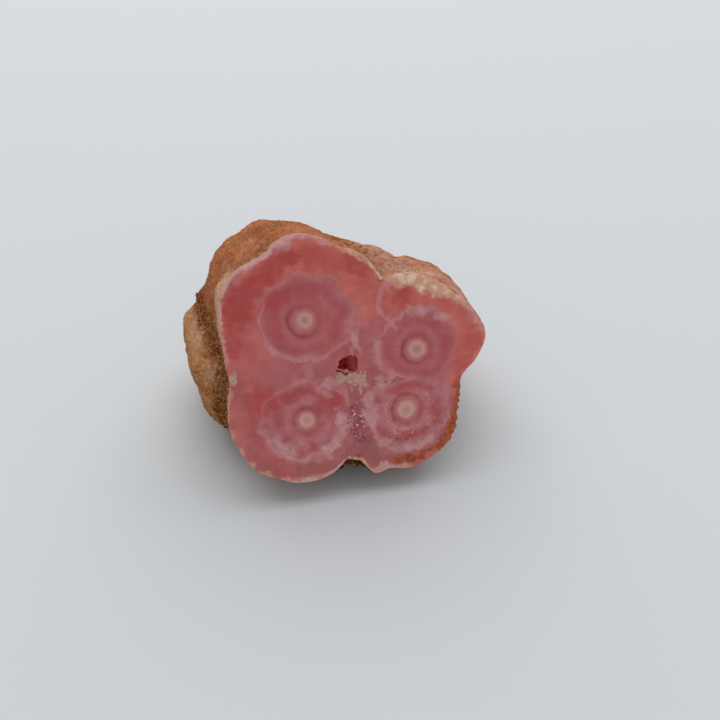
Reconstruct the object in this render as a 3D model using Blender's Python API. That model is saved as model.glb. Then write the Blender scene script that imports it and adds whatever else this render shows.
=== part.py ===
"""A section of fused rhodochrosite stalactites, sawn across and left rough everywhere else.

Four stalactites meet in the sawn face and a fifth is fused on behind them, to the left.
The whole stone formed as one mass, so it is one closed body.
"""

import bpy
import bmesh
import numpy as np
from mathutils import Vector

# ---------------------------------------------------------------- driving dimensions, in millimetres
MM = 0.001

# The sawn face leans back. Its centre is placed so that the stone's box stands centred on the origin.
LEAN = np.radians(25.0)
FACE_CENTRE = Vector((1.55, -10.17, 16.8))

# Places on and behind the face are (across, up, deep): to the right and up along the face from its
# centre, and straight back into the stone. Each stalactite is a tapered rod with round ends: its
# start, its end, its radius at the start and its radius at the end.
STALACTITES = {
    "upper left": ((-6.1, 6.7, -3.0), (-7.7, 6.7, 14.0), 10.2, 10.3),
    "right": ((6.2, 0.8, -3.0), (9.0, 0.4, 14.5), 9.3, 9.2),
    "lower left": ((-7.9, -6.0, -3.0), (-8.1, -5.0, 14.0), 9.2, 8.8),
    "lower right": ((5.1, -8.2, -3.0), (4.9, -6.5, 14.0), 7.1, 7.1),
    "fill between the lower two": ((0.2, -8.5, -3.0), (0.0, -5.0, 12.0), 4.3, 6.0),
    "fifth, behind on the left": ((-10.8, -1.9, 12.0), (-11.0, 0.2, 18.0), 10.0, 10.2),
    "fill behind the upper notch": ((1.1, 4.8, 8.0), (0.0, 4.2, 16.0), 8.7, 8.0),
}
WELD = 0.6  # how softly one stalactite runs into the next

# Chips and swellings of the sawn rim, seen from the heart of the stone:
# direction round the face in degrees, half width in degrees, height in millimetres.
RIM_FEATURES = (
    (173.0, 8.0, 1.2),
    (123.0, 10.0, -1.3),
    (93.5, 11.5, -0.85),
    (61.0, 3.5, 0.2),
    (35.0, 11.0, -0.75),
    (7.0, 4.0, 0.4),
    (-10.0, 9.0, -1.5),
    (-84.0, 6.0, 1.3),
    (-100.0, 3.5, -0.55),
)
RIM_FADE = 7.0  # depth over which the rim's chips die out

HEART = (-0.8, -1.0, 9.0)  # the point inside that sees the whole skin
REACH = 34.0  # farther from the heart than any of the skin
STEPS = 136
HALVINGS = 12

# Lumps of the skin: the length and height of each layer of crossed waves.
LUMPS = ((5.0, 0.3), (2.4, 0.12))
LUMP_WAVES = 24
LUMPS_LOST_AT_RIM = 0.7

# The small open vug where the stalactites meet: its centre on the face (across, up), its depth, and
# its reach in a few directions in degrees: the rounded upper lobe, the left tail and the lower leg.
VUG_CENTRE = (-1.3, -0.3)
VUG_DEPTH = 1.8
VUG_REACH = ((48.0, 1.2), (110.0, 1.0), (190.0, 1.65), (235.0, 0.75), (292.0, 1.35), (340.0, 1.0))

# The grids of the skin and of the vug.
AROUND = 104
ALONG = 50
VUG_AROUND = 24
VUG_ALONG = 12
SHARP_EDGE = np.radians(40.0)

ACROSS = Vector((1.0, 0.0, 0.0))
UP_FACE = Vector((0.0, np.sin(LEAN), np.cos(LEAN)))
OUT_OF_FACE = Vector((0.0, -np.cos(LEAN), np.sin(LEAN)))


def lumps(places):
    """Layers of sine waves that cross in random fixed directions."""
    random = np.random.default_rng(5)
    total = 0.0
    for length, height in LUMPS:
        ways = random.normal(size=(LUMP_WAVES, 3))
        ways *= 2 * np.pi / length / np.linalg.norm(ways, axis=1, keepdims=True)
        phases = random.uniform(0, 2 * np.pi, LUMP_WAVES)
        waves = np.sin(places @ ways.T + phases).sum(axis=-1)
        total = total + height * waves / np.sqrt(LUMP_WAVES / 2)
    return total


def outside(places):
    """Height of places above the skin, negative inside the stone.

    Distance from each rod's axis less the rod's radius there, the rods joined by a smooth minimum,
    then the rim's chips and the lumps taken off.
    """
    weight = 0.0
    for start, end, first_radius, last_radius in STALACTITES.values():
        start = np.array(start)
        axis = np.array(end) - start
        along = np.clip((places - start) @ axis / (axis @ axis), 0.0, 1.0)
        away = np.linalg.norm(places - start - along[..., None] * axis, axis=-1)
        radius = first_radius + along * (last_radius - first_radius)
        weight = weight + np.exp((radius - away) / WELD)
    height = -WELD * np.log(np.maximum(weight, np.finfo(float).tiny))
    turn = np.degrees(np.arctan2(places[..., 1] - HEART[1], places[..., 0] - HEART[0]))
    fade = np.exp(-np.maximum(places[..., 2], 0.0) / RIM_FADE)
    for direction, half_width, rise in RIM_FEATURES:
        off = (turn - direction + 180.0) % 360.0 - 180.0
        height = height - rise * fade * np.exp(-((off / half_width) ** 2))
    return height - (1.0 - LUMPS_LOST_AT_RIM * fade) * lumps(places)


def skin_reach(directions):
    """Distance from the heart to the outermost crossing of the skin in each direction."""
    heart = np.array(HEART)
    steps = np.linspace(0.0, REACH, STEPS + 1)
    inside = outside(heart + steps[:, None, None] * directions) < 0.0
    last = STEPS - np.argmax(inside[::-1], axis=0)
    near = steps[last]
    far = near + steps[1]
    for _ in range(HALVINGS):
        middle = (near + far) / 2
        within = outside(heart + middle[:, None] * directions) < 0.0
        near = np.where(within, middle, near)
        far = np.where(within, far, middle)
    return (near + far) / 2


def to_world(place):
    """A place on or behind the face, in metres in the world."""
    across, up, deep = (float(value) for value in place)
    return (FACE_CENTRE + across * ACROSS + up * UP_FACE - deep * OUT_OF_FACE) * MM


def cut_flat(bm, point, normal):
    """Cuts away what lies beyond a plane and closes the cut with a flat face."""
    geometry = bm.verts[:] + bm.edges[:] + bm.faces[:]
    bmesh.ops.bisect_plane(
        bm, geom=geometry, dist=1e-7, plane_co=point, plane_no=normal, clear_outer=True
    )
    rim = [edge for edge in bm.edges if edge.is_boundary]
    bmesh.ops.holes_fill(bm, edges=rim, sides=0)


def stone_mesh():
    """A sphere whose points are moved out to the skin, then sawn and rested on a flat."""
    bm = bmesh.new()
    bmesh.ops.create_uvsphere(bm, u_segments=AROUND, v_segments=ALONG, radius=1.0)
    directions = np.array([vert.co[:] for vert in bm.verts])
    reach = skin_reach(directions)
    for vert, direction, distance in zip(bm.verts, directions, reach):
        vert.co = to_world(np.array(HEART) + distance * direction)
    bmesh.ops.recalc_face_normals(bm, faces=bm.faces[:])
    cut_flat(bm, FACE_CENTRE * MM, OUT_OF_FACE)
    cut_flat(bm, Vector((0.0, 0.0, 0.0)), Vector((0.0, 0.0, -1.0)))
    mesh = bpy.data.meshes.new("stalactite_section")
    bm.to_mesh(mesh)
    bm.free()
    return mesh


def vug_mesh():
    """A sphere drawn out to the vug's reach in the plane of the face and to its depth behind it."""
    bm = bmesh.new()
    bmesh.ops.create_uvsphere(bm, u_segments=VUG_AROUND, v_segments=VUG_ALONG, radius=1.0)
    directions, reaches = zip(*VUG_REACH)
    for vert in bm.verts:
        turn = np.degrees(np.arctan2(vert.co.y, vert.co.x)) % 360.0
        reach = np.interp(turn, directions, reaches, period=360.0)
        across = VUG_CENTRE[0] + reach * vert.co.x
        up = VUG_CENTRE[1] + reach * vert.co.y
        vert.co = to_world((across, up, VUG_DEPTH * vert.co.z))
    bmesh.ops.recalc_face_normals(bm, faces=bm.faces[:])
    mesh = bpy.data.meshes.new("vug_cutter")
    bm.to_mesh(mesh)
    bm.free()
    return mesh


def collection_named(name):
    collection = bpy.data.collections.new(name)
    bpy.context.scene.collection.children.link(collection)
    return collection


def banded_rhodochrosite():
    material = bpy.data.materials.new("banded_rhodochrosite")
    material.use_nodes = True
    shader = material.node_tree.nodes["Principled BSDF"]
    shader.inputs["Base Color"].default_value = (0.42, 0.10, 0.10, 1.0)
    shader.inputs["Roughness"].default_value = 0.45
    shader.inputs["Metallic"].default_value = 0.0
    return material


def main():
    for thing in list(bpy.data.objects):
        bpy.data.objects.remove(thing, do_unlink=True)
    stone = bpy.data.objects.new("stalactite_section", stone_mesh())
    stone.data.materials.append(banded_rhodochrosite())
    stone.data.shade_smooth()
    stone.data.set_sharp_from_angle(angle=SHARP_EDGE)
    collection_named("rhodochrosite_slice").objects.link(stone)

    vug = bpy.data.objects.new("vug_cutter", vug_mesh())
    vug.hide_render = True
    vug.display_type = "WIRE"
    collection_named("cutters").objects.link(vug)
    opening = stone.modifiers.new("vug", "BOOLEAN")
    opening.operation = "DIFFERENCE"
    opening.solver = "EXACT"
    opening.object = vug


main()
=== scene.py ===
"""A section of fused rhodochrosite stalactites: one sawn face with four banded eyes, rough crust elsewhere.

The stone is one closed surface, worked out on one grid that runs from the bottom of the small vug,
up its walls, across the sawn face, over the rim and down the crust to the back. Its shape formulas
are those of the solid it stands for, with finer relief added.
"""

import bpy
import numpy as np
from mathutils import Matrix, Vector


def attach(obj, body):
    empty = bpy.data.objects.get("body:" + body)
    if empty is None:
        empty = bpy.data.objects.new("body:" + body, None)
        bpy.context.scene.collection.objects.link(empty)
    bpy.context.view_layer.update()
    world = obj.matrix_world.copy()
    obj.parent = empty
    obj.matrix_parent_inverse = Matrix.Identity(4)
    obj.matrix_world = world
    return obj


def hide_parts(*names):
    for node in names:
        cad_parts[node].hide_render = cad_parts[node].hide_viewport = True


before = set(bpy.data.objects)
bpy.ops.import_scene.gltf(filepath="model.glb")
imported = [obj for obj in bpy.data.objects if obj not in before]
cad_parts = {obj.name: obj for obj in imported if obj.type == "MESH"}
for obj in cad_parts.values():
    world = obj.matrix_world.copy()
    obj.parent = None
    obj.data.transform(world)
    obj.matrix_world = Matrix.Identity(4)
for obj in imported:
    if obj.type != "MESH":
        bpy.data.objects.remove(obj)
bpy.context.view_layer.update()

# ---------------------------------------------------------------- the solid's own dimensions, in millimetres
MM = 0.001
LEAN = np.radians(25.0)  # how far the face leans back
FACE_CENTRE = np.array((1.55, -10.17, 16.8))
ACROSS = np.array((1.0, 0.0, 0.0))
UP_FACE = np.array((0.0, np.sin(LEAN), np.cos(LEAN)))
OUT_OF_FACE = np.array((0.0, -np.cos(LEAN), np.sin(LEAN)))

# Places are (across, up, deep) from the centre of the face. A stalactite is a tapered rod with round
# ends: its start, its end, its radius at the start and its radius at the end.
STALACTITES = {
    "upper left": ((-6.1, 6.7, -3.0), (-7.7, 6.7, 14.0), 10.2, 10.3),
    "right": ((6.2, 0.8, -3.0), (9.0, 0.4, 14.5), 9.3, 9.2),
    "lower left": ((-7.9, -6.0, -3.0), (-8.1, -5.0, 14.0), 9.2, 8.8),
    "lower right": ((5.1, -8.2, -3.0), (4.9, -6.5, 14.0), 7.1, 7.1),
    "fill between the lower two": ((0.2, -8.5, -3.0), (0.0, -5.0, 12.0), 4.3, 6.0),
    "fifth, behind on the left": ((-10.8, -1.9, 12.0), (-11.0, 0.2, 18.0), 10.0, 10.2),
    "fill behind the upper notch": ((1.1, 4.8, 8.0), (0.0, 4.2, 16.0), 8.7, 8.0),
}
RIGHT, FIFTH, UPPER_FILL = 1, 5, 6  # where these stand in the list above
WELD = 0.6  # how softly the rods run into each other
# Bulges and chips of the face's outline: direction and half width in degrees, and rise.
RIM_FEATURES = (
    (173.0, 8.0, 1.2),
    (123.0, 10.0, -1.3),
    (93.5, 11.5, -0.85),
    (61.0, 3.5, 0.2),
    (35.0, 11.0, -0.75),
    (7.0, 4.0, 0.4),
    (-10.0, 9.0, -1.5),
    (-84.0, 6.0, 1.3),
    (-100.0, 3.5, -0.55),
)
RIM_FADE = 7.0  # depth behind the face over which they die out
HEART = np.array((-0.8, -1.0, 9.0))  # the place inside that the crust is worked out around
REACH = 34.0  # farther than any of the skin lies from the heart
LUMPS = ((5.0, 0.22), (2.4, 0.05))  # length and height of the skin's low lumps
LUMP_WAVES = 24
LUMPS_LOST_AT_RIM = 0.7
VUG_CENTRE = np.array((-1.3, -0.3))
VUG_DEPTH = 1.8
VUG_REACH = ((48.0, 1.2), (110.0, 1.0), (190.0, 1.65), (235.0, 0.75), (292.0, 1.35), (340.0, 1.0))

# ---------------------------------------------------------------- the surface's grid
AROUND = 400
VUG_ROWS = 9
FACE_ROWS = 84
SKIN_ROWS = 148
RIM_ROW = VUG_ROWS + FACE_ROWS

# ---------------------------------------------------------------- the fine relief, in millimetres
DOMES = (2.1, 0.16)  # width and height of the round growths
GRAINS = (0.6, 0.09)
FIBRES = (0.7, 0.03)
PITS = (0.8, 0.28)
RELIEF_RISE = 1.2  # depth behind the rim over which the relief comes in
RELIEF_AT_RIM = 0.35  # its share at the rim itself
RELIEF_MIDDLE = 0.6  # the share of a dome or grain that lies below the smooth skin
TEETH = (0.7, 0.13)  # length and height of the broken edge's teeth
BROKEN_EDGE = (-32.0, 17.0)  # its direction and half width in degrees
VUG_KNOBS = (0.45, 0.16)  # width of the knobs on the vug's wall, and their height as a share of its reach
CREASE_WIDTH = 1.6  # how much deeper in one stalactite than in the next a place is when its crease fades
CRACK_DEPTH = 0.4
SEAM_DEPTH = 0.16
PATCH_EDGE = (0.35, 1.35)  # shares of its half width where a soft patch starts to fade, and is gone
DARK_MEAN = 0.62  # mean darkness of an eye's dark ring, as a share of its darkest side
# Numbers without a pattern, which scatter one point in each cell of a grid.
SCATTER = np.array(((12.9898, 39.346, 73.156), (78.233, 11.135, 52.235), (37.719, 83.155, 9.151)))
SCATTER_GAIN = 43758.5453

# ---------------------------------------------------------------- the eyes and the markings of the face
# Each eye: its core's place, the radius of its pale core and of its dark ring, how far that ring is off
# the core, how strong the eye's fine rings are, the direction in which its dark ring is strongest and
# how dark it is there, how bright its lace is by direction, the count and depth of the scallops of its
# lace, and the lace's reach by direction.
EYES = (
    {
        "core": (-6.35, 5.96), "pale": 0.95, "ring": 1.95, "ring_off": (-0.2, -0.12), "fine": 0.1,
        "dark_side": 205.0, "dark": 0.95,
        "pale_lace": ((0, 0.6), (45, 0.5), (90, 0.5), (135, 0.4),
                      (180, 0.75), (225, 0.9), (270, 0.8), (315, 0.55)),
        "scallops": 9, "scallop": 0.12,
        "lace": ((18, 6.2), (37, 5.6), (46, 6.2), (69, 5.9), (97, 5.8), (149, 5.7), (181, 5.4),
                 (203, 5.7), (224, 5.7), (252, 5.4), (275, 5.2), (314, 5.5), (329, 6.0), (355, 6.0)),
    },
    {
        "core": (7.38, 0.43), "pale": 1.1, "ring": 1.85, "ring_off": (-0.1, -0.05), "fine": 0.3,
        "dark_side": 200.0, "dark": 1.0,
        "pale_lace": ((0, 0.3), (45, 0.45), (90, 0.65), (130, 0.9),
                      (180, 0.6), (225, 0.6), (270, 0.35), (315, 0.25)),
        "scallops": 10, "scallop": 0.12,
        "lace": ((9, 5.2), (37, 5.4), (83, 5.4), (113, 5.0), (141, 5.0), (164, 5.0), (204, 5.2),
                 (230, 4.2), (259, 3.9), (290, 4.2), (322, 5.0), (351, 4.9)),
    },
    {
        "core": (-7.41, -6.81), "pale": 0.95, "ring": 1.65, "ring_off": (-0.05, -0.1), "fine": 0.7,
        "dark_side": 80.0, "dark": 0.65,
        "pale_lace": ((0, 0.85), (45, 0.6), (90, 0.65), (135, 0.45),
                      (180, 0.4), (225, 0.75), (270, 0.8), (315, 1.0)),
        "scallops": 12, "scallop": 0.4,
        "lace": ((15, 5.9), (28, 5.8), (45, 5.0), (69, 4.9), (84, 5.6), (100, 5.0), (140, 5.5),
                 (185, 6.2), (195, 5.7), (238, 5.6), (264, 5.4), (312, 5.0), (347, 5.7)),
    },
    {
        "core": (5.35, -7.37), "pale": 1.1, "ring": 1.95, "ring_off": (0.2, 0.3), "fine": 1.0,
        "dark_side": 150.0, "dark": 0.9,
        "pale_lace": ((0, 0.5), (45, 0.4), (90, 0.4), (135, 0.65),
                      (180, 1.0), (225, 0.9), (270, 0.85), (315, 0.6)),
        "scallops": 11, "scallop": 0.18,
        "lace": ((2, 5.8), (24, 6.0), (43, 5.2), (82, 4.1), (113, 4.2), (149, 5.5), (161, 5.7),
                 (203, 5.0), (249, 5.7), (268, 5.2), (301, 5.2), (337, 5.8)),
    },
)
OUTER_STAGE = 3.0  # millimetres of growth beyond the lace that make one more stage

# Soft patches of the face: place (across, up), half widths along and across the patch, its turn in
# degrees and its strength. Each table is named for what it paints.
SALMON = (
    (-6.0, 12.8, 10.5, 4.4, 0, 1.1), (-14.2, 5.0, 4.4, 9.0, 0, 0.6), (-14.0, -4.0, 4.4, 7.0, 0, 0.5),
    (-12.8, -11.2, 4.2, 3.4, -40, 0.45), (0.8, 9.0, 3.0, 5.0, 20, 0.95), (8.8, 7.0, 7.4, 3.4, -18, 1.2),
    (14.2, -0.5, 3.2, 6.0, 12, 1.2), (12.6, -4.2, 1.6, 3.4, 0, 0.9), (-8.0, -14.0, 7.0, 1.6, 0, 0.7),
    (-8.5, -1.0, 5.0, 1.5, 8, 0.15), (8.0, -13.6, 3.5, 1.2, 18, 0.5),
)
DEEP_RED = (
    (-14.4, 8.4, 2.4, 3.2, -25, 1.0), (-10.3, 12.3, 3.0, 1.7, 35, 1.0), (-12.7, 10.3, 2.6, 1.9, 40, 1.0),
    (-7.6, 13.9, 2.2, 1.5, 0, 1.0), (-4.4, 13.8, 2.4, 1.6, 0, 0.6), (-0.6, 12.4, 2.0, 1.6, 20, 0.5),
    (0.8, 11.9, 1.7, 2.6, 35, 0.75), (-15.4, 4.6, 1.4, 3.0, 0, 0.7), (6.2, 7.4, 1.6, 2.2, -20, 0.75),
    (9.3, 3.5, 1.3, 0.9, -30, 0.4), (14.8, 0.0, 1.5, 2.4, 0, 0.4), (12.9, -3.0, 1.2, 2.2, 30, 0.5),
    (11.4, 0.2, 1.2, 2.6, 0, 0.4), (-9.4, 8.9, 3.0, 1.4, 30, 0.75), (-5.8, 9.2, 2.4, 1.0, 0, 0.5),
    (-9.8, 5.6, 0.9, 2.6, 0, 0.5), (-3.0, 4.6, 1.0, 2.4, 0, 0.4), (-12.6, -3.6, 3.4, 2.2, 0, 0.8),
    (-9.4, -3.4, 2.2, 1.2, 10, 0.8), (-5.2, -5.2, 1.5, 1.7, 0, 0.75), (-13.6, -8.0, 1.8, 2.8, 0, 0.45),
    (-7.6, -2.9, 2.6, 1.0, 0, 0.6), (-3.7, -5.1, 1.6, 1.8, 0, 0.9), (-10.8, -6.0, 1.2, 2.2, 0, 0.5),
    (5.5, -4.4, 3.2, 1.1, 0, 0.7), (9.0, -8.0, 1.0, 2.4, 0, 0.5), (5.4, -10.6, 2.6, 0.7, 0, 0.8),
    (0.2, -4.6, 1.0, 1.4, 0, 0.5),
)
MILK = (
    (-8.0, 15.6, 1.5, 0.9, 35, 1.1), (-12.1, 13.6, 1.8, 0.7, 45, 0.9), (-13.9, 11.9, 1.0, 0.5, 50, 0.5),
    (8.0, 5.3, 1.8, 1.0, -12, 0.8), (10.9, 4.1, 2.0, 0.8, -25, 0.85), (4.6, 9.4, 1.4, 0.9, 10, 0.7),
    (14.9, 3.6, 1.0, 2.4, 20, 0.5), (-2.6, -8.1, 1.7, 1.2, -20, 0.95), (-4.8, -10.9, 1.9, 1.0, 45, 1.1),
    (-2.9, -7.4, 1.2, 1.9, 0, 0.85), (-5.0, -3.6, 1.4, 0.5, -35, 0.6), (-10.9, -10.1, 2.6, 1.2, -35, 0.85),
    (-7.6, -12.0, 3.0, 0.7, 0, 0.7), (-12.8, -7.8, 1.0, 0.9, 0, 0.5), (-7.2, -14.7, 5.0, 0.7, 0, 0.6),
    (0.6, -6.8, 1.2, 2.6, 0, 0.95), (6.6, -12.1, 2.8, 0.9, 10, 1.0), (2.2, -11.3, 1.4, 0.7, 20, 0.7),
    (4.0, -12.4, 3.0, 0.7, 5, 0.5), (-0.3, 2.6, 0.5, 1.6, 12, 1.0), (2.2, 0.8, 0.7, 2.2, 0, 0.6),
    (2.9, -3.0, 1.6, 1.0, 0, 0.75), (-4.0, -2.4, 2.4, 0.8, -12, 0.6), (-6.6, -0.6, 1.0, 1.6, 0, 0.5),
    (0.8, 5.6, 0.8, 2.4, 0, 0.4),
)
DUSK = (
    (-0.8, -11.6, 2.6, 1.7, 0, 1.0), (0.6, -13.0, 1.2, 1.4, 0, 0.9), (-7.0, -13.6, 4.6, 1.3, 0, 0.8),
    (8.2, -12.4, 2.0, 1.6, 0, 0.4), (-13.2, -12.4, 3.4, 1.6, -40, 0.6), (-10.5, -1.2, 3.0, 1.6, 0, 0.35),
    (-15.2, -2.5, 1.5, 5.4, 0, 0.35), (-14.4, -8.8, 1.7, 3.4, -15, 0.35), (2.6, -12.7, 5.4, 1.5, 5, 0.5),
    (-1.2, -4.4, 1.2, 1.2, 0, 0.4),
)
CALCITE = (
    (-1.4, -2.1, 1.9, 0.75, -8, 1.1), (-0.3, -2.6, 1.0, 1.2, 10, 1.2), (-0.4, -3.6, 0.5, 0.7, 0, 0.9),
    (-15.9, -0.3, 0.6, 0.7, 0, 1.1),
)
STAIN = (
    (12.5, -4.9, 0.8, 0.8, 0, 0.9), (5.2, -13.9, 2.0, 0.55, -4, 1.3), (7.6, -13.3, 1.2, 0.35, 12, 0.9),
    (-1.6, -12.7, 1.4, 0.4, 10, 0.7), (3.5, 9.9, 0.6, 0.5, 0, 0.6),
)
PATCHES = {"salmon": SALMON, "red": DEEP_RED, "milk": MILK, "calcite": CALCITE, "dusk": DUSK}
RAGGEDNESS = {"calcite": 1.3, "milk": 0.7}  # how torn their edges are, where it isn't 0.5
# Thin pale lines of the face: their points (across, up), half width and strength.
VEINS = (
    (((4.5, 9.5), (3.5, 8.7), (2.8, 6.5), (3.1, 5.6), (4.2, 4.5), (4.9, 3.4)), 0.34, 0.9),
    (((0.0, 3.9), (-0.3, 2.5), (-1.0, 1.1)), 0.26, 0.8),
    (((-5.3, -11.4), (-4.5, -10.7), (-3.5, -9.3), (-2.4, -8.9)), 0.16, 0.9),
    (((-4.2, -12.6), (-2.6, -11.0), (-1.7, -9.9)), 0.14, 0.5),
    (((2.1, 2.6), (2.3, 0.6), (2.6, -1.6)), 0.35, 0.5),
    (((-1.9, -6.4), (-2.6, -7.4), (-2.2, -8.3), (-3.1, -9.4)), 0.14, 0.9),
    (((-0.2, -6.0), (0.4, -8.2), (1.4, -10.4), (2.6, -11.6)), 0.18, 0.8),
)
# The orange brown band of iron-stained crust that shows along the lower right rim.
STAIN_BAND = (
    (((12.9, -5.4), (12.6, -6.7), (12.2, -8.3), (11.5, -9.9), (10.7, -11.4), (9.6, -12.9)), 0.75, 1.2),
)
# The pale skin along the rim: direction, width in millimetres, strength and warmth (1 cream, 0 lilac).
RIM_SKIN = (
    (5.0, 0.5, 0.4, 0.6), (20.0, 0.8, 0.6, 0.5), (33.0, 1.7, 1.0, 0.8), (46.0, 2.3, 1.2, 0.95),
    (58.0, 2.0, 1.2, 1.0), (66.0, 0.7, 0.8, 0.9), (80.0, 0.8, 1.0, 1.0), (92.0, 0.8, 0.6, 0.7),
    (105.0, 1.1, 0.7, 0.3), (122.0, 0.6, 0.9, 0.2), (136.0, 0.6, 0.9, 0.5), (150.0, 0.5, 0.8, 0.3),
    (168.0, 0.25, 0.5, 0.6), (190.0, 0.25, 0.4, 0.8), (212.0, 0.35, 0.5, 0.8), (228.0, 0.6, 0.6, 0.8),
    (240.0, 0.4, 0.8, 0.5), (255.0, 0.5, 0.8, 0.4), (266.0, 0.4, 0.7, 0.9), (274.0, 0.8, 0.8, 0.8),
    (283.0, 1.4, 0.8, 0.3), (291.0, 0.6, 0.7, 0.7), (300.0, 0.3, 0.3, 0.7), (330.0, 0.3, 0.1, 0.8),
    (350.0, 0.35, 0.3, 0.7),
)
# Open cracks by the vug.
CRACKS = (
    (((-2.9, -1.0), (-2.4, -1.3), (-1.8, -1.6)), 0.15, 1.0),
    (((-0.9, -1.0), (-0.7, -1.5)), 0.12, 0.9),
)
# The drusy seams, points, half width and strength: between the lower two stalactites, its side branch,
# and a thin one below and one above the lower right eye.
DRUSY_SEAMS = (
    (((-0.7, -5.8), (-1.5, -7.0), (-0.9, -8.3), (-1.4, -9.3), (-0.8, -10.4)), 0.75, 1.0),
    (((-1.0, -9.0), (-2.6, -8.9)), 0.3, 0.6),
    (((2.3, -10.2), (2.9, -10.6), (3.6, -11.1), (4.4, -11.0), (5.2, -11.2), (6.4, -10.3)), 0.2, 0.35),
    (((1.6, -3.2), (4.0, -3.4), (5.5, -2.9), (6.7, -3.5), (8.4, -4.0)), 0.14, 0.12),
)

# ---------------------------------------------------------------- the small crystals and grains
RHOMB_PRESS = 0.18  # how much a cube is pressed together along its diagonal
DRUSE_COUNT = 170
DRUSE_SIZES = (0.07, 0.28)  # least and greatest, in millimetres
GRANULE_COUNT = 420
GRANULE_SIZES = (0.18, 0.42)
NOTCH = (-95.0, 10.5)  # direction and half width in degrees of the notch they lie in
NOTCH_DEPTHS = (0.15, 2.2)  # how far behind the face they lie
NOTCH_HEAP = (-1.9, 2.4)  # middle and half width of the heap they make
NOTCH_EARTH_AND_SHADE = (-1.8, 2.4)  # middle and half width of the dark earth and painted shade under them
GRAIN_COUNT = 3600
GRAIN_SIZES = (0.1, 0.27)
GRAIN_PLACES = (0.8, -11.0)  # the grains lie behind this depth, and above this height on the face
GRAINS_ON_RIGHT = 0.03  # share of the left side's grains that the right side has
FIFTH_PAINTED_HIGHLIGHT = (np.array((-18.5, 5.5, 11.5)), 5.0)  # centre of the painted highlight on the upper left of the fifth stalactite, and its half width
SHARE_SOFTNESS = 1.5  # how softly the colours of two stalactites run into each other
PALE_STRIP = (13.5, 15.5)  # how far left the washed strip behind the rim starts, and is full


# ---------------------------------------------------------------- shape
def bell(off):
    """A bell curve: 1 at 0, falling to about a third at 1 on both sides."""
    return np.exp(-(off**2))


def smooth_step(value, low, high):
    """0 below low, 1 above high, smooth in between."""
    share = np.clip((value - low) / (high - low), 0.0, 1.0)
    return share * share * (3.0 - 2.0 * share)


def turn_of(places):
    """The direction of places round the heart, in degrees."""
    return np.degrees(np.arctan2(places[..., 1] - HEART[1], places[..., 0] - HEART[0]))


def turned_off(turn, direction):
    """How far directions are turned from one direction: from -180 to 180 degrees."""
    return (turn - direction + 180.0) % 360.0 - 180.0


def by_turn(turn, table):
    """Values given in a few directions, joined up in between: one array for each column of values."""
    directions, *columns = zip(*table)
    return [np.interp(turn, directions, column, period=360.0) for column in columns]


def waves(places, layers, count, seed):
    """Layers of sine waves that cross in random fixed directions: (length, height) of each layer."""
    random = np.random.default_rng(seed)
    total = 0.0
    for length, height in layers:
        ways = random.normal(size=(count, places.shape[-1]))
        ways *= 2 * np.pi / length / np.linalg.norm(ways, axis=1, keepdims=True)
        phases = random.uniform(0, 2 * np.pi, count)
        total = total + height * np.sin(places @ ways.T + phases).sum(axis=-1) / np.sqrt(count / 2)
    return total


def rods(places):
    """How far inside each stalactite places lie: its radius there less the distance from its axis."""
    depths = []
    for start, end, first_radius, last_radius in STALACTITES.values():
        start = np.array(start)
        axis = np.array(end) - start
        along = np.clip((places - start) @ axis / (axis @ axis), 0.0, 1.0)
        away = np.linalg.norm(places - start - along[..., None] * axis, axis=-1)
        depths.append(first_radius + along * (last_radius - first_radius) - away)
    return np.stack(depths, axis=-1)


def outside(places, lumpy=True):
    """Height above the skin: the rods joined by a smooth minimum, less the rim's chips and the lumps."""
    weight = np.exp(rods(places) / WELD).sum(axis=-1)
    height = -WELD * np.log(np.maximum(weight, np.finfo(float).tiny))
    turn = turn_of(places)
    fade = np.exp(-np.maximum(places[..., 2], 0.0) / RIM_FADE)
    for direction, half_width, rise in RIM_FEATURES:
        height = height - rise * fade * bell(turned_off(turn, direction) / half_width)
    if lumpy:
        height = height - (1.0 - LUMPS_LOST_AT_RIM * fade) * waves(places, LUMPS, LUMP_WAVES, 5)
    return height


def skin_reach(origin, directions, steps=45, slack=0.9, halvings=13):
    """Distance from the origin to the outermost crossing of the skin in each direction.

    The crossing is found on the smooth rods first, then closed in on by halving with the lumps on.
    """
    stops = np.linspace(0.0, REACH, steps + 1)
    inside = [outside(origin + stop * directions, lumpy=False) < 0.0 for stop in stops]
    last = steps - np.argmax(np.array(inside)[::-1], axis=0)
    near = stops[last] - slack
    far = stops[last] + stops[1] + slack
    for _ in range(halvings):
        middle = (near + far) / 2
        within = outside(origin + middle[..., None] * directions) < 0.0
        near = np.where(within, middle, near)
        far = np.where(within, far, middle)
    return (near + far) / 2


def nearest(places, size, seed):
    """Distance to the nearest of points scattered one to a cell, as a share of a cell."""
    cell = np.floor(places / size)
    best = np.full(places.shape[:-1], 9.0)
    for step in np.ndindex(3, 3, 3):
        corner = cell + np.array(step) - 1.0
        jitter = np.modf(np.abs(np.sin(corner @ SCATTER + seed) * SCATTER_GAIN))[0]
        best = np.minimum(best, np.linalg.norm(corner + jitter - places / size, axis=-1))
    return best


def domes(places, size, seed):
    """Round heaps about scattered points: 1 on top, less the square of the distance as a share of a cell."""
    return 1.0 - np.clip(nearest(places, size, seed), 0.0, 1.0) ** 2


def creases(depths):
    """1 in the grooves where two stalactites meet, fading to 0 over their backs."""
    ordered = np.sort(depths, axis=-1)
    return bell((ordered[..., -1] - ordered[..., -2]) / CREASE_WIDTH)


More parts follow.
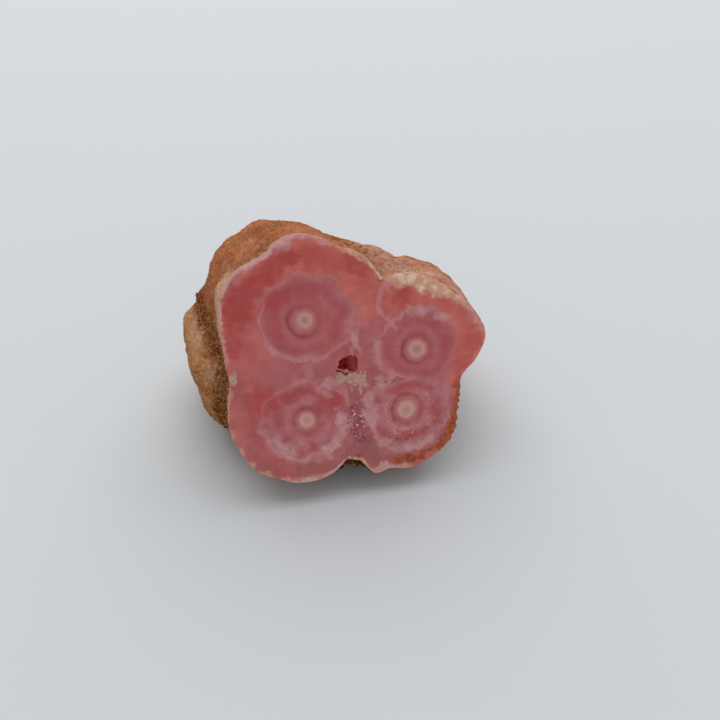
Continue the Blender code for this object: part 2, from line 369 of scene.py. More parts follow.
def crust_relief(places):
    """Height of the crust's fine relief, the same height as a share from pit to top, and the grooves.

    Round growths and grains are domes about scattered points. Fibres are waves drawn out along the
    stalactites. Pits are sunk about scattered points, most of them in the grooves on the left.
    """
    groove = creases(rods(places))
    fibre = waves(places * np.array((1.0, 1.0, 0.16)), ((FIBRES[0], 1.0),), 20, 11)
    some = smooth_step(waves(places, ((4.0, 1.0),), 16, 12), -0.6, 1.0)
    grains = domes(places, GRAINS[0], 4.1)
    left = smooth_step(-places[..., 0], 6.0, 13.0)
    pits = 1.0 - smooth_step(nearest(places, PITS[0], 8.3), 0.12, 0.45)
    pits = pits * np.clip(0.12 * some + groove * left, 0.0, 1.0)
    height = DOMES[1] * (domes(places, DOMES[0], 1.7) - RELIEF_MIDDLE)
    height = height + GRAINS[1] * (grains - RELIEF_MIDDLE) * (0.5 + groove + 0.5 * some)
    height = height + FIBRES[1] * fibre - PITS[1] * pits
    return height, np.clip(0.55 + height / 0.5, 0.0, 1.0), groove


def skin_places(turns, ways):
    """The crust from rim to back, with the height of its relief as a share, and its grooves.

    The rim is where directions in the face leave the rods. Behind it the directions from the heart
    swing round evenly to straight back. The relief and the broken edge's teeth are added along the
    surface's own normals, which at the rim lie in the face.
    """
    flat_ways = np.concatenate((ways, np.zeros((AROUND, 1))), axis=-1)
    in_face = np.array((HEART[0], HEART[1], 0.0))
    rim_reach = skin_reach(in_face, flat_ways)
    rim = in_face + rim_reach[:, None] * flat_ways

    polar = np.arctan2(rim_reach, HEART[2])
    swing = np.linspace(0.0, 1.0, SKIN_ROWS + 1)[1:-1, None]
    polar = polar + (np.pi - polar) * swing
    directions = np.stack((np.sin(polar) * ways[:, 0], np.sin(polar) * ways[:, 1], -np.cos(polar)), axis=-1)
    skin = HEART + skin_reach(HEART, directions)[..., None] * directions
    skin = np.concatenate((rim[None], skin))

    height, share, groove = crust_relief(skin)
    around = (np.roll(skin, -1, axis=1) - np.roll(skin, 1, axis=1)) / 2
    normals = np.cross(np.gradient(skin, axis=0), around)
    normals /= np.maximum(np.linalg.norm(normals, axis=-1, keepdims=True), 1e-9)
    behind = smooth_step(skin[..., 2], 0.0, RELIEF_RISE)
    outward = np.broadcast_to(flat_ways, skin.shape)
    normals = outward + (normals - outward) * behind[..., None]
    direction, half_width = BROKEN_EDGE
    broken = bell(turned_off(np.degrees(turns), direction) / half_width)
    teeth = TEETH[1] * waves(skin, ((TEETH[0], 1.0),), 20, 21) * broken
    strength = RELIEF_AT_RIM + (1 - RELIEF_AT_RIM) * behind
    skin = skin + (height * strength + teeth)[..., None] * normals
    skin[0, :, 2] = 0.0
    return skin, share, groove


def stone_places():
    """The whole surface as rows of places: vug, face, rim, crust. Also the crust's relief and grooves.

    The vug is half a ball drawn to its mouth's outline, with knobs. The face's rows run evenly from
    the mouth to the rim, and sink a little in the cracks and the drusy seams.
    """
    turns = 2 * np.pi * np.arange(AROUND) / AROUND
    ways = np.stack((np.cos(turns), np.sin(turns)), axis=-1)
    skin, share, groove = skin_places(turns, ways)

    mouth = by_turn(np.degrees(turns) % 360.0, VUG_REACH)[0]
    mouth = mouth * (1.0 + 0.04 * waves(ways * 1.2, ((0.5, 1.0),), 12, 31))
    level = np.linspace(0.0, np.pi / 2, VUG_ROWS + 1)[::-1][1:-1, None]
    vug_flat = VUG_CENTRE + (mouth * np.cos(level))[..., None] * ways
    vug = np.concatenate((vug_flat, (VUG_DEPTH * np.sin(level) + 0 * mouth)[..., None]), axis=-1)
    knobs = VUG_KNOBS[1] * (nearest(vug, VUG_KNOBS[0], 3.3) - 0.5)
    vug = vug + knobs[..., None] * (vug - np.append(VUG_CENTRE, 0.4))

    shares = np.linspace(0.0, 1.0, FACE_ROWS + 1)[:-1, None, None] ** 1.15
    inner = VUG_CENTRE + mouth[:, None] * ways
    flat = inner + (skin[0, :, :2] - inner) * shares
    sunk = CRACK_DEPTH * lines(flat, CRACKS, 57) + SEAM_DEPTH * lines(flat, DRUSY_SEAMS, 58)
    sunk = sunk * smooth_step(shares[..., 0], 0.0, 0.04) * smooth_step(1.0 - shares[..., 0], 0.0, 0.03)
    face = np.concatenate((flat, sunk[..., None]), axis=-1)
    return np.concatenate((vug, face, skin)), share, groove


def to_world(places):
    """Places on or behind the face, in metres in the world, kept above the floor.

    A place that would lie under the floor is drawn towards the heart until it lies on it.
    """
    world = (
        FACE_CENTRE
        + places[..., 0:1] * ACROSS
        + places[..., 1:2] * UP_FACE
        - places[..., 2:3] * OUT_OF_FACE
    )
    heart = FACE_CENTRE + HEART[0] * ACROSS + HEART[1] * UP_FACE - HEART[2] * OUT_OF_FACE
    drop = heart[2] - world[..., 2:3]
    share = np.where(world[..., 2:3] < 0.0, heart[2] / np.maximum(drop, 1e-6), 1.0)
    return (heart + (world - heart) * share) * MM


# ---------------------------------------------------------------- markings, as values on the face's points
def patches(flat, marks, seed, raggedness=0.5):
    """Soft oval patches with ragged edges: the strongest of them at each point."""
    ragged = raggedness * waves(flat, ((1.6, 0.22), (0.6, 0.1)), 16, seed)
    total = np.zeros(flat.shape[:-1])
    for across, up, half_along, half_aside, turn, strength in marks:
        angle = np.radians(turn)
        off = flat - np.array((across, up))
        along = (off[..., 0] * np.cos(angle) + off[..., 1] * np.sin(angle)) / half_along
        aside = (off[..., 1] * np.cos(angle) - off[..., 0] * np.sin(angle)) / half_aside
        away = np.sqrt(along**2 + aside**2) + ragged
        total = np.maximum(total, strength * (1.0 - smooth_step(away, *PATCH_EDGE)))
    return total


def lines(flat, marks, seed):
    """Soft lines along chains of straight runs: a bell curve of the distance to the nearest run."""
    ragged = flat + np.stack([waves(flat, ((0.9, 0.1),), 16, seed + side) for side in (0, 1)], axis=-1)
    total = np.zeros(flat.shape[:-1])
    for points, half_width, strength in marks:
        for first, last in zip(points, points[1:]):
            run = np.array(last) - np.array(first)
            along = np.clip((ragged - np.array(first)) @ run / (run @ run), 0.0, 1.0)
            away = np.linalg.norm(ragged - np.array(first) - along[..., None] * run, axis=-1)
            total = np.maximum(total, strength * bell(away / half_width))
    return total


def lace_reach(eye, number):
    """Reach of an eye's lace, degree by degree: its table evened out, with an arch for each scallop.

    An arch is a power of a sine's size, and two slow swings keep the arches from being even.
    """
    even = np.arange(0.0, 360.0, 1.0)
    swing = 14.0 * np.sin(np.radians(even * 3 + 50 * number)) + 9.0 * np.sin(np.radians(even * 5 + 80))
    arc = np.abs(np.sin(np.radians((even + swing) * eye["scallops"] / 2)))
    reach = np.convolve(np.tile(by_turn(even, eye["lace"])[0], 3), np.ones(9) / 9, "same")[360:720]
    return even, reach + eye["scallop"] * (arc**0.55 - 0.78)


def stages(flat):
    """What each point of the face is in its eye: a dictionary of values on the points.

    For one eye the growth stage rises evenly from the core to the pale core's edge (1), the dark ring
    (2) and the scalloped lace (4), then beyond it. A point belongs to the eye that reached it earliest.
    "lace_off" is how far outside the lace it lies, "later" how many stages later the next eye would
    have come, "from_core" the vector from the core, "fine" how strong the fine rings are, and
    "lace_share" and "ring_share" how bright the lace and how dark the dark ring are in its direction.
    """
    bend = waves(flat, ((3.4, 0.16),), 20, 41)
    crinkle = waves(flat, ((1.3, 0.05), (0.55, 0.025)), 20, 42)
    found = {"growth": [], "lace_off": [], "from_core": [], "fine": [], "lace_share": [], "ring_share": []}
    for number, eye in enumerate(EYES):
        pale, ring = eye["pale"], eye["ring"]
        off = flat - np.array(eye["core"])
        radius = np.linalg.norm(off, axis=-1)
        turn = np.degrees(np.arctan2(off[..., 1], off[..., 0])) % 360.0
        lace = np.interp(turn, *lace_reach(eye, number), period=360.0)
        settled = smooth_step(radius, 1.0, 3.2)
        rough = radius + (bend + crinkle * (1.0 + 0.9 * eye["fine"])) * settled
        ring_radius = np.linalg.norm(off - np.array(eye["ring_off"]), axis=-1)
        inner = radius + (ring_radius - radius) * smooth_step(radius, 0.6 * pale, ring)
        inner = inner + 0.025 * np.cos(np.radians(turn * 7 + 40 * number)) * radius
        stage = np.interp(inner, (0.0, pale, ring), (0.0, 1.0, 2.0))
        rough = ring_radius + (rough - ring_radius) * smooth_step(rough, ring, ring + 0.8)
        middle = 2.0 + 2.0 * (rough - ring) / (lace - ring)
        beyond = 4.0 + (rough - lace) / OUTER_STAGE
        found["growth"].append(np.where(inner < ring, stage, np.where(rough > lace, beyond, middle)))
        found["lace_off"].append(rough - lace)
        found["from_core"].append(off)
        found["fine"].append(np.full(radius.shape, eye["fine"]))
        found["lace_share"].append(by_turn(turn, eye["pale_lace"])[0])
        dark = DARK_MEAN + (1 - DARK_MEAN) * np.cos(np.radians(turn - eye["dark_side"]))
        found["ring_share"].append(dark * eye["dark"])
    growth = np.array(found["growth"])
    owner = np.argmin(growth, axis=0)
    ordered = np.sort(growth, axis=0)
    values = {"later": ordered[1] - ordered[0]}
    for name, rows in found.items():
        rows = np.array(rows)
        picked = owner.reshape(1, *owner.shape, *(1,) * (rows.ndim - growth.ndim))
        values[name] = np.take_along_axis(rows, picked, axis=0)[0]
    return values


def rim_values(flat):
    """Strength and warmth of the pale skin along the rim: it ends at its width from the rim, ragged."""
    width, strength, warmth = by_turn(turn_of(flat) % 360.0, RIM_SKIN)
    to_rim = np.linalg.norm(flat - flat[RIM_ROW - 1], axis=-1)
    ragged = to_rim + waves(flat, ((2.2, 0.16), (0.8, 0.1)), 16, 61)
    return strength * (1.0 - smooth_step(ragged / width, 0.4, 1.2)), warmth


# ---------------------------------------------------------------- mesh
def new_mesh(name, points, corners, starts):
    """A mesh from its points, the corners of all its faces in a row, and where each face starts in that."""
    mesh = bpy.data.meshes.new(name)
    mesh.vertices.add(len(points))
    mesh.vertices.foreach_set("co", points.astype(np.float32).ravel())
    mesh.loops.add(len(corners))
    mesh.loops.foreach_set("vertex_index", corners.astype(np.int32))
    mesh.polygons.add(len(starts))
    mesh.polygons.foreach_set("loop_start", starts.astype(np.int32))
    mesh.update(calc_edges=True)
    mesh.validate()
    return mesh


def grid_mesh(name, rows):
    """A closed mesh from rows of points all the way round, with a point closing each end.

    Point (row, column) joins its neighbours in four-sided faces; the ends are fans of triangles.
    """
    count, around = rows.shape[:2]
    points = np.concatenate((rows.reshape(-1, 3), (rows[0].mean(axis=0), rows[-1].mean(axis=0))))
    row = np.arange(count - 1)[:, None] * around
    column = np.arange(around)
    following = (column + 1) % around
    below = row + around
    quads = np.stack((row + column, below + column, below + following, row + following), axis=-1)
    first, last, base = count * around, count * around + 1, (count - 1) * around
    front = np.stack((np.full(around, first), column, following), axis=-1)
    back = np.stack((np.full(around, last), base + following, base + column), axis=-1)
    corners = np.concatenate((quads.ravel(), front.ravel(), back.ravel()))
    starts = np.concatenate((np.arange(quads.size // 4) * 4, quads.size + np.arange(2 * around) * 3))
    return new_mesh(name, points, corners, starts)


def put_in_scene(name, data):
    """A new object with that mesh, camera or light, linked to the scene."""
    made = bpy.data.objects.new(name, data)
    bpy.context.scene.collection.objects.link(made)
    return made


def put_values(mesh, name, values, kind="FLOAT"):
    """Stores one number, or one vector, for each point of the mesh."""
    attribute = mesh.attributes.new(name, kind, "POINT")
    key = "vector" if kind == "FLOAT_VECTOR" else "value"
    attribute.data.foreach_set(key, values.astype(np.float32).ravel())


def small_solids(name, places, sizes, material, seed, tints=(0.0, 1.0)):
    """One mesh of many small rhombs, each turned at random, of 12 triangles each.

    A rhomb is a cube pressed together along one diagonal. Each has one random tint between the two.
    """
    random = np.random.default_rng(seed)
    corners = np.array(list(np.ndindex(2, 2, 2)))[:, ::-1] - 0.5
    diagonal = np.ones(3) / np.sqrt(3)
    corners = corners - RHOMB_PRESS * (corners @ diagonal)[:, None] * diagonal
    faces = np.array(((0, 4, 6, 2), (1, 3, 7, 5), (0, 1, 5, 4), (2, 6, 7, 3), (0, 2, 3, 1), (4, 5, 7, 6)))
    quaternions = random.normal(size=(4, len(places)))
    w, x, y, z = quaternions / np.linalg.norm(quaternions, axis=0)
    turns = np.array(
        (
            (1 - 2 * (y * y + z * z), 2 * (x * y - w * z), 2 * (x * z + w * y)),
            (2 * (x * y + w * z), 1 - 2 * (x * x + z * z), 2 * (y * z - w * x)),
            (2 * (x * z - w * y), 2 * (y * z + w * x), 1 - 2 * (x * x + y * y)),
        )
    )
    turned = np.einsum("ijn,kj->nki", turns, corners) * sizes[:, None, None]
    points = (places[:, None, :] + turned).reshape(-1, 3)
    loops = (faces[None] + 8 * np.arange(len(places))[:, None, None]).reshape(-1)
    mesh = new_mesh(name, points, loops, 4 * np.arange(len(loops) // 4))
    put_values(mesh, "tint", np.repeat(random.uniform(*tints, len(places)), 8))
    mesh.materials.append(material)
    return put_in_scene(name, mesh)


def near_lines(marks, count, seed):
    """Random places (across, up) near chains of straight runs, thickest on wide and strong lines."""
    random = np.random.default_rng(seed)
    runs = [
        (first, last, half, strength)
        for points, half, strength in marks
        for first, last in zip(points, points[1:])
    ]
    starts, ends, halves, strengths = (np.array(column) for column in zip(*runs))
    likely = np.linalg.norm(ends - starts, axis=1) * halves**0.5 * strengths
    pick = random.choice(len(runs), count, p=likely / likely.sum())
    share = random.uniform(size=(count, 1))
    aside = random.normal(scale=0.8, size=(count, 2)) * halves[pick][:, None]
    return starts[pick] + share * (ends - starts)[pick] + aside


def make_druse(material):
    """Small clear crystals half sunk in the drusy seams."""
    flat = near_lines(DRUSY_SEAMS, DRUSE_COUNT, 71)
    depth = SEAM_DEPTH * lines(flat, DRUSY_SEAMS, 58)
    places = to_world(np.concatenate((flat, depth[:, None]), axis=-1))
    sizes = np.random.default_rng(72).uniform(*DRUSE_SIZES, DRUSE_COUNT) * MM
    return small_solids("druse_crystals", places, sizes, material, 73)


def make_granules(skin, material):
    """Dark iron-stained granules heaped in the notch at the bottom of the face, just behind its edge."""
    random = np.random.default_rng(74)
    direction, half_width = NOTCH
    least, most = NOTCH_DEPTHS
    behind = (skin[..., 2] > least) & (skin[..., 2] < most)
    near = np.argwhere((np.abs(turn_of(skin) - direction) < half_width) & behind)
    picked = near[random.integers(len(near), size=GRANULE_COUNT)]
    places = skin[picked[:, 0], picked[:, 1]].copy()
    middle, reach = NOTCH_HEAP
    off = np.abs(places[:, 0] - middle) / reach
    places[:, 1] -= random.uniform(0.0, 1.0, GRANULE_COUNT) * np.clip(1.0 - off, 0.0, 1.0)
    sizes = random.uniform(*GRANULE_SIZES, GRANULE_COUNT) * MM
    places = to_world(places)
    places[:, 2] = np.maximum(places[:, 2], sizes)  # none reaches below the floor
    return small_solids("notch_granules", places, sizes, material, 75, (0.0, 0.84))


def make_crease_grains(skin, groove, material):
    """Earthy grains caught in the creases between the stalactites, thickest in the deepest on the left."""
    random = np.random.default_rng(76)
    depth, height = GRAIN_PLACES
    likely = smooth_step(groove, 0.2, 0.9) * (skin[..., 2] > depth) * (skin[..., 1] > height)
    likely = likely * (GRAINS_ON_RIGHT + (1 - GRAINS_ON_RIGHT) * smooth_step(-skin[..., 0], 3.0, 12.0))
    likely = likely * smooth_step(waves(skin, ((3.0, 1.0),), 16, 77), -1.0, 1.2)
    picked = random.choice(likely.size, GRAIN_COUNT, p=(likely / likely.sum()).reshape(-1))
    places = to_world(skin.reshape(-1, 3)[picked])
    sizes = random.uniform(*GRAIN_SIZES, GRAIN_COUNT) * MM
    places[:, 2] = np.maximum(places[:, 2], sizes)
    return small_solids("crease_grains", places, sizes, material, 78, (0.64, 1.0))


def face_values(flat):
    """All the markings of the face, as values on its points."""
    values = stages(flat)
    values["rim"], values["rim_warmth"] = rim_values(flat)
    for number, (name, marks) in enumerate(PATCHES.items()):
        values[name] = patches(flat, marks, 51 + number, RAGGEDNESS.get(name, 0.5))
    values["stain"] = np.maximum(patches(flat, STAIN, 59, 0.8), lines(flat, STAIN_BAND, 60))
    values["vein"] = lines(flat, VEINS, 56)
    values["crack"] = lines(flat, CRACKS, 57)
    values["druse"] = lines(flat, DRUSY_SEAMS, 58)
    return values


def crust_values(skin, relief, groove):
    """What the crust's colours follow, as values on its points: its relief and whose skin it is.

    A stalactite's share of a point is the exponential of its depth there over that of all of them.
    """
    share = np.exp(rods(skin) / SHARE_SOFTNESS)
    share /= share.sum(axis=-1, keepdims=True)
    highlight_centre, width = FIFTH_PAINTED_HIGHLIGHT
    middle, reach = NOTCH_EARTH_AND_SHADE
    return {
        "relief": relief,
        "groove": groove**0.5,
        "fifth": share[..., FIFTH],
        "fifth_painted_highlight": bell(np.linalg.norm(skin - highlight_centre, axis=-1) / width),
        "right_side": share[..., RIGHT] + 0.9 * share[..., UPPER_FILL],
        "behind_rim": skin[..., 2],
        "left_side": smooth_step(-skin[..., 0], *PALE_STRIP),
        "notch": np.exp(-np.abs((skin[..., 0] - middle) / reach) ** 3) * (skin[..., 1] < 0.0),
    }


def make_stone(places, relief, groove, materials):
    """The stone with its markings and materials: sawn face, crust and vug wall."""
    mesh = grid_mesh("rhodochrosite_section", to_world(places))
    values = face_values(places[..., :2])
    spread = np.pad(values.pop("from_core"), ((0, 0), (0, 0), (0, 1))).reshape(-1, 3)
    put_values(mesh, "from_core", np.concatenate((spread, np.zeros((2, 3)))), "FLOAT_VECTOR")
    for name, rows in crust_values(places[RIM_ROW - 1 :], relief, groove).items():
        values[name] = np.concatenate((np.zeros((RIM_ROW - 1, AROUND)), rows))
    for name, rows in values.items():
        put_values(mesh, name, np.append(rows, (0.0, 0.0)))

    slots = np.zeros((len(places) - 1, AROUND), np.int32)
    slots[: VUG_ROWS - 1] = 2
    slots[RIM_ROW - 1 :] = 1
    slots = np.concatenate((slots.reshape(-1), np.full(AROUND, 2), np.full(AROUND, 1)))
    mesh.polygons.foreach_set("material_index", slots.astype(np.int32))
    for material in materials:
        mesh.materials.append(material)
    mesh.shade_smooth()

    edges = np.zeros(len(mesh.edges) * 2, np.int32)
    mesh.edges.foreach_get("vertices", edges)
    rows = edges.reshape(-1, 2) // AROUND
    sharp = (rows[:, 0] == rows[:, 1]) & np.isin(rows[:, 0], (VUG_ROWS - 1, RIM_ROW - 1))
    attribute = mesh.attributes.new("sharp_edge", "BOOLEAN", "EDGE")
    attribute.data.foreach_set("value", sharp)
    return put_in_scene("rhodochrosite_section", mesh)


# ---------------------------------------------------------------- materials
SMOOTH = {"interpolation_type": "SMOOTHSTEP"}


def paint(code):
    """An sRGB hex colour as linear red, green, blue and full alpha."""
    levels = np.array([int(code[place : place + 2], 16) / 255 for place in (1, 3, 5)])
    linear = np.where(levels <= 0.04045, levels / 12.92, ((levels + 0.055) / 1.055) ** 2.4)
    return (*linear.tolist(), 1.0)


def feed(tree, node, feeds):
    """Sets a node's inputs, in order or by name, to values, hex colours or links."""
    for name, value in feeds.items() if isinstance(feeds, dict) else enumerate(feeds):
        if isinstance(value, bpy.types.NodeSocket):
            tree.links.new(value, node.inputs[name])
        else:
            node.inputs[name].default_value = paint(value) if isinstance(value, str) else value


def add(tree, kind, feeds=(), stops=None, output=0, **settings):
    """Adds a shader node with its settings, inputs and colour stops, and gives back one output."""
    made = tree.nodes.new("ShaderNode" + kind)
    for name, value in settings.items():
        setattr(made, name, value)
    feed(tree, made, feeds)
    if stops:
        elements = made.color_ramp.elements
        while len(elements) < len(stops):
            elements.new(1.0)
        for element, (place, code) in zip(elements, stops):
            element.position = place
            element.color = paint(code)
    return made.outputs[output]


def point_values(tree, *names):
    """The values stored on the mesh's points under these names."""
    return {name: add(tree, "Attribute", attribute_name=name, output=2) for name in names}


def clouds(tree, place, size, low, high, detail=3.0, roughness=0.55):
    """Soft cloudy patches of about that size in millimetres: 0 between them and 1 in them."""
    feeds = {"Vector": place, "Scale": 1000.0 / size, "Detail": detail, "Roughness": roughness}
    return add(tree, "MapRange", (add(tree, "TexNoise", feeds), low, high), **SMOOTH)


def where_all(tree, first, *others):
    """High only where all of the values are: their product."""
    for other in others:
        first = add(tree, "Math", (first, other), operation="MULTIPLY")
    return first


def uneven(tree, pattern, gain, least, *values):
    """The product of the values, made uneven by a factor: least, and more by gain where the pattern is 1."""
    factor = add(tree, "Math", (pattern, gain, least), operation="MULTIPLY_ADD")
    return where_all(tree, factor, *values)


def two_tone(tree, pattern, first, second):
    """A colour that goes from the first to the second as the pattern goes from 0 to 1."""
    return add(tree, "Mix", {0: pattern, 6: first, 7: second}, output=2, data_type="RGBA")


def lay(tree, colour, *layers):
    """Lays more colours over a colour one after another: (colour, where, most, low, high) of each.

    A layer comes in as its value goes from low to high, or from 0 to 1 where those aren't given, and
    then covers as much as most says.
    """
    for over, where, most, *span in layers:
        share = add(tree, "MapRange", (where, *(span or (0.0, 1.0)), 0.0, most), **SMOOTH)
        colour = two_tone(tree, share, colour, over)
    return colour


def shade(tree, colour, *amounts):
    """Darkens or lightens a colour by several (value, least, greatest) factors one after another."""
    for value, least, greatest in amounts:
        factor = add(tree, "MapRange", (value, 0.0, 1.0, least, greatest))
        colour = add(tree, "VectorMath", {0: colour, "Scale": factor}, operation="SCALE")
    return colour


def new_material(name):
    """A new material, its tree and its shader."""
    material = bpy.data.materials.new(name)
    material.use_nodes = True
    tree = material.node_tree
    return material, tree, tree.nodes["Principled BSDF"]


def roughen(tree, height, depth, strength):
    """The unevenness that the light shows: a height from 0 to 1, its depth in metres and its strength."""
    return add(tree, "Bump", {"Height": height, "Distance": depth, "Strength": strength})


# The colour of an eye by growth stage: tan centre, cream ring, pink halo, dark ring, rose bands.
LAST_STAGE = 6.0
EYE_COLOURS = (
    (0.0, "#BE8478"), (0.32, "#BE857A"), (0.5, "#CC9287"), (0.85, "#D69B90"), (1.0, "#CC8980"),
    (1.2, "#C37673"), (1.6, "#BC6263"), (1.95, "#B55759"), (2.3, "#BD6063"), (2.6, "#C3676A"),
    (2.9, "#BC5D60"), (3.3, "#B9575B"), (3.6, "#BF6466"), (4.0, "#C46C6C"),
)
DARK_RING = 1.93  # the stage at which the dark ring lies
DARK_RING_WIDTH = 0.42  # half of it, in stages
RINGS_A_STAGE = 24.0  # how far the fine rings turn in their wave, in radians, over one stage
CALCITE_IOR = 1.6


def sawn_rhodochrosite():
    """Banded rhodochrosite, sawn and finely ground: translucent pink bands with a satin sheen.

    The bands follow the growth stage; the cloudy mixing of rose, salmon and milky lilac between them
    is what tells the eye that the stone is a natural carbonate and not painted.
    """
    material, tree, shader = new_material("sawn_banded_rhodochrosite")
    place = add(tree, "TexCoord", output=3)
    values = point_values(
        tree, "growth", "lace_off", "fine", "later", "salmon", "red", "milk", "calcite", "dusk", "stain",
        "vein", "crack", "druse", "rim", "rim_warmth", "lace_share", "ring_share",
    )
    growth, lace_off = values["growth"], values["lace_off"]
    broad = clouds(tree, place, 3.4, 0.3, 0.7)
    mottle = clouds(tree, place, 1.2, 0.25, 0.75, 3.0, 0.5)
    small = clouds(tree, place, 0.5, 0.3, 0.7, 3.0, 0.6)
    grain = clouds(tree, place, 0.2, 0.3, 0.7, 4.0, 0.7)  # crystal grains, drawn coarser than life

    # Bands by growth stage, made a little uneven, with darker and milkier clouds in them.
    outer_only = add(tree, "MapRange", (growth, 0.9, 2.6))
    stage = add(tree, "Math", (growth, uneven(tree, small, 0.1, -0.05, outer_only)), operation="ADD")
    stage = add(tree, "Math", (stage, LAST_STAGE), operation="DIVIDE")
    stops = [(stage_at / LAST_STAGE, code) for stage_at, code in EYE_COLOURS]
    past_ring = add(tree, "MapRange", (growth, 2.1, 2.6), **SMOOTH)
    colour = lay(
        tree, add(tree, "ValToRGB", (stage,), stops=stops),
        ("#B04C53", where_all(tree, broad, past_ring), 0.5, 0.2, 1.0),
        ("#BE7F84", where_all(tree, mottle, values["fine"], outer_only), 0.6, 0.0, 0.75),
    )

    # The thin dark ring, strong on one side of an eye and nearly lost on another, and the paler cores.
    wander = add(tree, "Math", (broad, 0.3, -0.2), operation="MULTIPLY_ADD")
    wander = add(tree, "Math", (mottle, 0.1, wander), operation="MULTIPLY_ADD")
    wander = add(tree, "Math", (wander, growth), operation="ADD")
    off_ring = add(tree, "Math", (wander, DARK_RING), operation="SUBTRACT")
    off_ring = add(tree, "Math", (off_ring,), operation="ABSOLUTE")
    ring = add(tree, "MapRange", (off_ring, 0.0, DARK_RING_WIDTH, 1.0, 0.0), **SMOOTH)
    kept = clouds(tree, place, 2.2, 0.35, 0.65)
    pale = add(tree, "MapRange", (growth, 0.8, 1.1, 1.0, 0.0), **SMOOTH)
    colour = lay(
        tree, colour,
        ("#923840", uneven(tree, kept, 0.5, 0.5, values["ring_share"], ring), 0.85),
        ("#D8A79C", where_all(tree, pale, values["fine"]), 0.35),
    )

    # Beyond the lace: dusky rose between the eyes, salmon towards the rim. Red and dusky patches.
    rose = two_tone(tree, broad, "#B4585C", "#C26C6F")
    salmon = two_tone(tree, broad, "#CA5D52", "#D46F62")
    warm = add(tree, "Math", (mottle, 0.1, -0.05), operation="MULTIPLY_ADD")
    warm = add(tree, "Math", (warm, values["salmon"]), operation="ADD")
    colour = lay(
        tree, colour,
        (lay(tree, rose, (salmon, warm, 1.0, 0.0, 0.9)), lace_off, 1.0, -0.25, 0.3),
        ("#B53733", uneven(tree, mottle, 0.35, 0.6, values["red"]), 0.85, 0.0, 0.9),
        ("#A55B58", values["dusk"], 0.8, 0.0, 0.9),
    )

    # The fine crinkled rings, broken into short arcs.
    turns = add(tree, "Math", (growth, RINGS_A_STAGE), operation="MULTIPLY")
    turns = add(tree, "Math", (mottle, 0.9, turns), operation="MULTIPLY_ADD")
    rings = add(tree, "MapRange", (add(tree, "Math", (turns,), operation="SINE"), -0.9, 1.0), **SMOOTH)
    started = add(tree, "MapRange", (growth, 2.1, 2.3), **SMOOTH)
    not_over = add(tree, "MapRange", (growth, 2.7, 3.2, 1.0, 0.0), **SMOOTH)
    arcs = clouds(tree, place, 2.6, 0.3, 0.65)
    rings = where_all(tree, rings, values["fine"], started, not_over, arcs)

    # The lace: crisp outside, fading inwards over an uneven width, and bright only here and there.
    veil = clouds(tree, place, 5.0, 0.35, 0.65)
    width = add(tree, "Math", (veil, -0.9, -0.45), operation="MULTIPLY_ADD")
    full = add(tree, "Math", (width, 0.2), operation="MULTIPLY")
    lace = add(tree, "MapRange", (lace_off, width, full), **SMOOTH)
    edge = add(tree, "MapRange", (lace_off, -0.1, 0.35, 1.0, 0.0), **SMOOTH)
    lace = uneven(tree, mottle, 0.35, 0.7, values["lace_share"], where_all(tree, lace, edge))

    # Over the rings and the lace: milky patches, pale lines, and the seams where two eyes met.
    late = add(tree, "MapRange", (values["later"], 0.0, 0.1, 1.0, 0.0), **SMOOTH)
    colour = lay(
        tree, colour,
        ("#CE8C8B", rings, 0.75),
        ("#CC8787", lace, 0.9),
        ("#D29B9C", uneven(tree, mottle, 0.5, 0.5, values["milk"]), 0.85),
        ("#CE8D87", values["vein"], 0.75, 0.05, 1.0),
        ("#C68384", where_all(tree, late, small), 0.2),
    )

    # Drusy seam, calcite, cracks, iron stain, and the skin along the rim, lilac to cream and white.
    sugary = two_tone(tree, small, "#A03E4C", "#CA828A")
    calcite = two_tone(tree, small, "#BE907F", "#D8B09E")
    iron = two_tone(tree, small, "#913B16", "#C6612E")
    stained = add(tree, "Math", (small, 0.25, values["stain"]), operation="MULTIPLY_ADD")
    white = where_all(tree, mottle, values["rim_warmth"])
    skin = lay(
        tree, "#DDB2B4",
        ("#DCAA88", values["rim_warmth"], 1.0),
        ("#F0DCC4", white, 0.85, 0.35, 0.8),
    )
    colour = lay(
        tree, colour,
        (sugary, uneven(tree, mottle, 0.5, 0.5, values["druse"]), 0.75, 0.05, 0.8),
        (calcite, values["calcite"], 0.9, 0.1, 0.8),
        ("#6F1C1B", values["crack"], 0.9, 0.3, 0.9),
        (iron, stained, 1.0, 0.35, 0.9),
        (skin, uneven(tree, small, 0.35, 0.65, values["rim"]), 0.9, 0.0, 0.9),
    )

    # Faint spokes of the fibrous crystals that grew out from each core.
    from_core = add(tree, "Attribute", attribute_name="from_core", output=1)
    radius = add(tree, "VectorMath", {0: from_core}, operation="LENGTH", output=1)
    direction = add(tree, "VectorMath", {0: from_core}, operation="NORMALIZE")
    direction = add(tree, "VectorMath", {0: direction, "Scale": 0.011}, operation="SCALE")
    out = add(tree, "CombineXYZ", {"Z": add(tree, "Math", (radius, 0.0004), operation="MULTIPLY")})
    spokes = add(tree, "VectorMath", (direction, out), operation="ADD")
    fibres = clouds(tree, spokes, 0.9, 0.3, 0.7, 3.0, 0.6)
    colour = shade(tree, colour, (fibres, 0.965, 1.035), (grain, 0.96, 1.04), (mottle, 0.95, 1.05))

